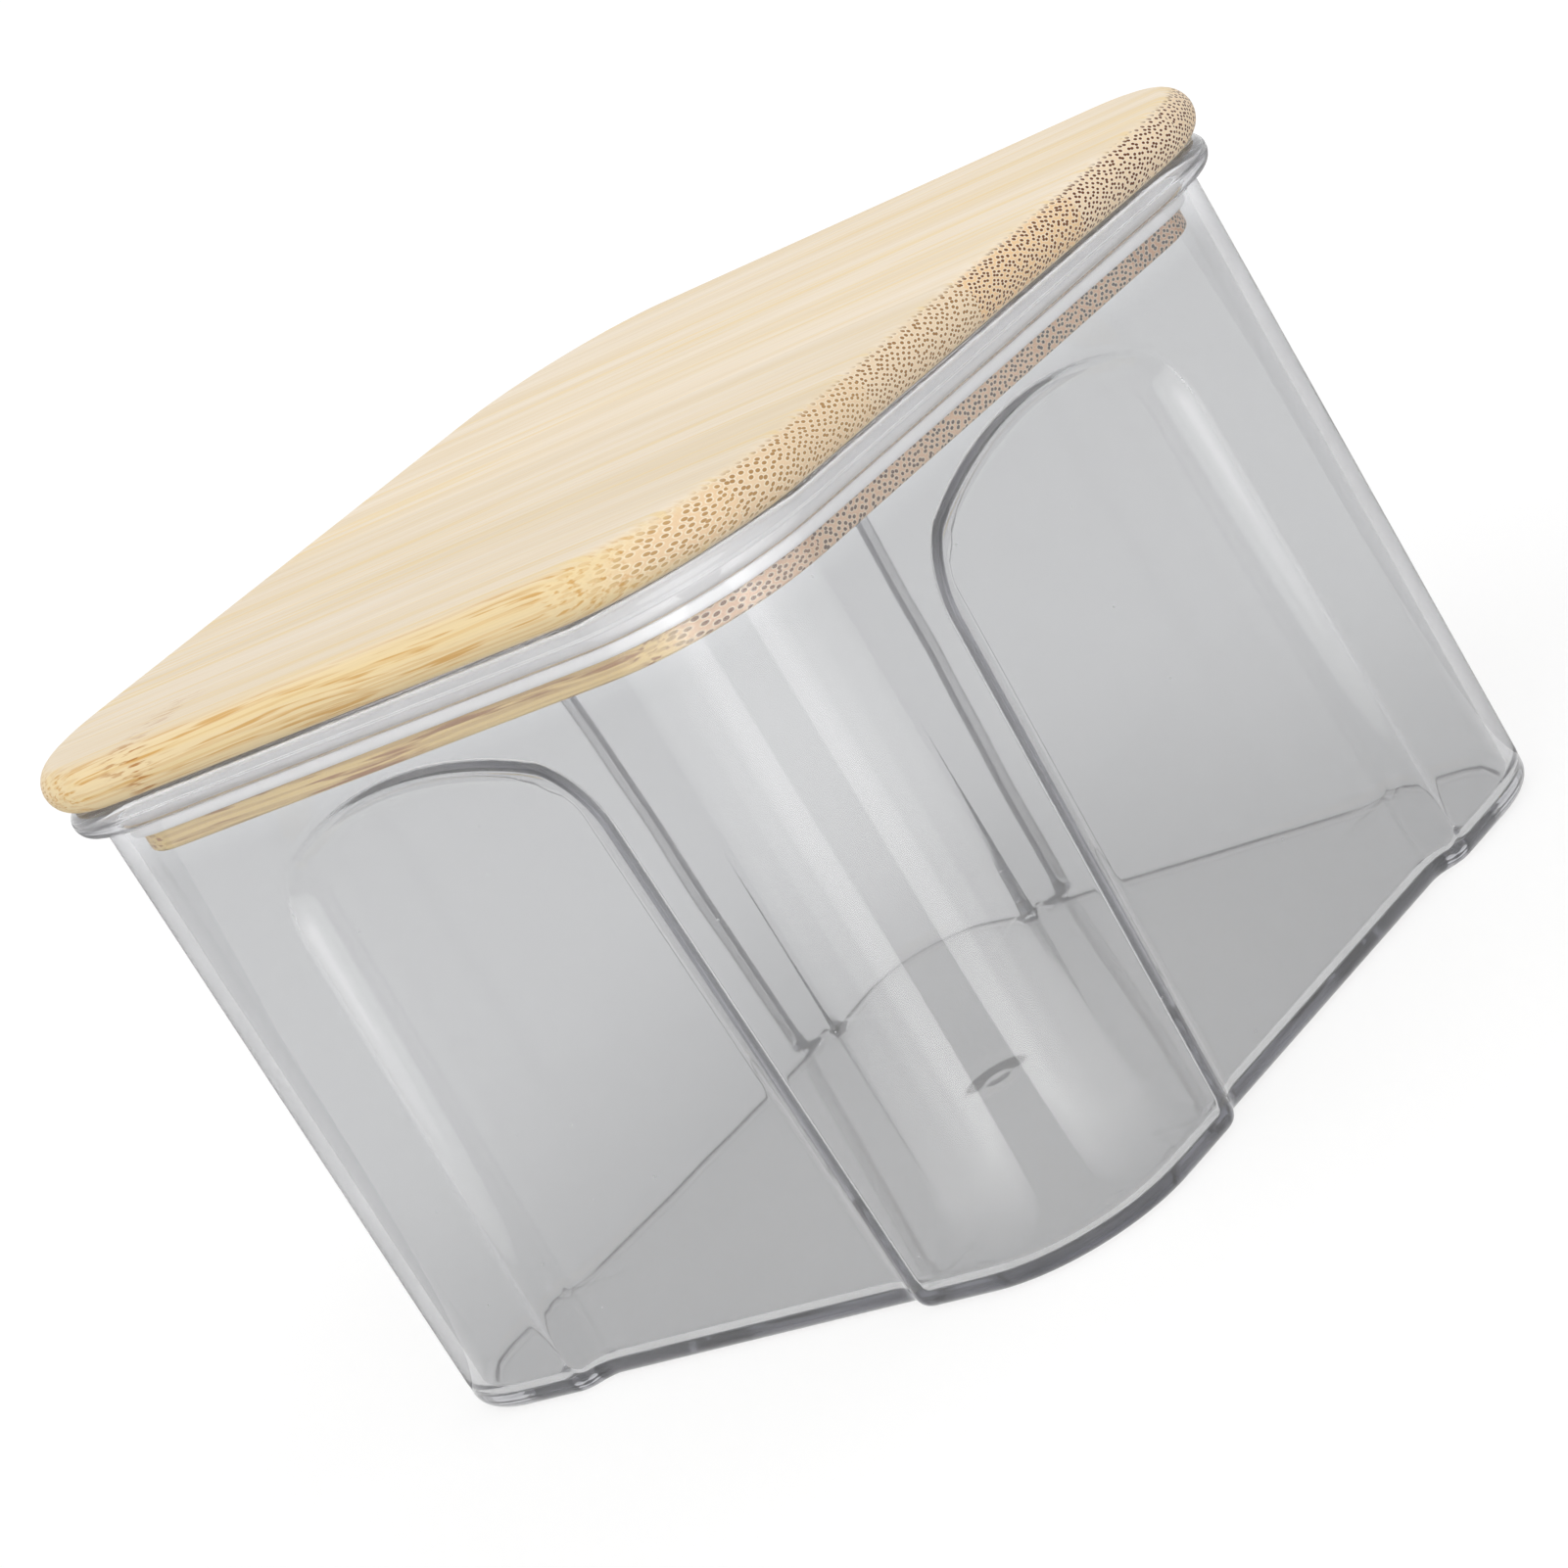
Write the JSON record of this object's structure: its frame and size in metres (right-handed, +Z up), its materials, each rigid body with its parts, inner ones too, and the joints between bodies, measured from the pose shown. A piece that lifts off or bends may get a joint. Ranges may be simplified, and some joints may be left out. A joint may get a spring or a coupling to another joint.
{
  "type": "storage jar",
  "caption": "Square clear storage jar with a rolled rim and an arched finger grip in each side, closed by a laminated bamboo lid whose plug carries a soft sealing ring.",
  "frame": {"origin": "middle of the jar's underside, at the middle of the whole object's plan", "axes": "+Z up, the way the lid lifts. +X and -X are the sides that show the lid's end grain, +Y and -Y the sides that its grain runs along"},
  "size_m": [0.11, 0.11, 0.0827],
  "materials": {
    "clear_plastic": "clear, polished",
    "silicone": "translucent white, satin",
    "bamboo_top": "sanded, oiled",
    "bamboo_plug": "sanded"
  },
  "bodies": {
    "jar": {"jar_body": "clear_plastic"},
    "lid": {"seal_ring": "silicone", "lid_top_strip_1": "bamboo_top", "lid_top_strip_2": "bamboo_top", "lid_top_strip_3": "bamboo_top", "lid_top_strip_4": "bamboo_top", "lid_top_strip_5": "bamboo_top", "lid_top_strip_6": "bamboo_top", "lid_plug_strip_1": "bamboo_plug", "lid_plug_strip_2": "bamboo_plug", "lid_plug_strip_3": "bamboo_plug", "lid_plug_strip_4": "bamboo_plug", "lid_plug_strip_5": "bamboo_plug"}
  },
  "joints": [
    {"name": "lid_lift", "type": "slide", "parent": "jar", "child": "lid", "axis": [0, 0, 1], "range_m": [0, 0.05]}
  ]
}
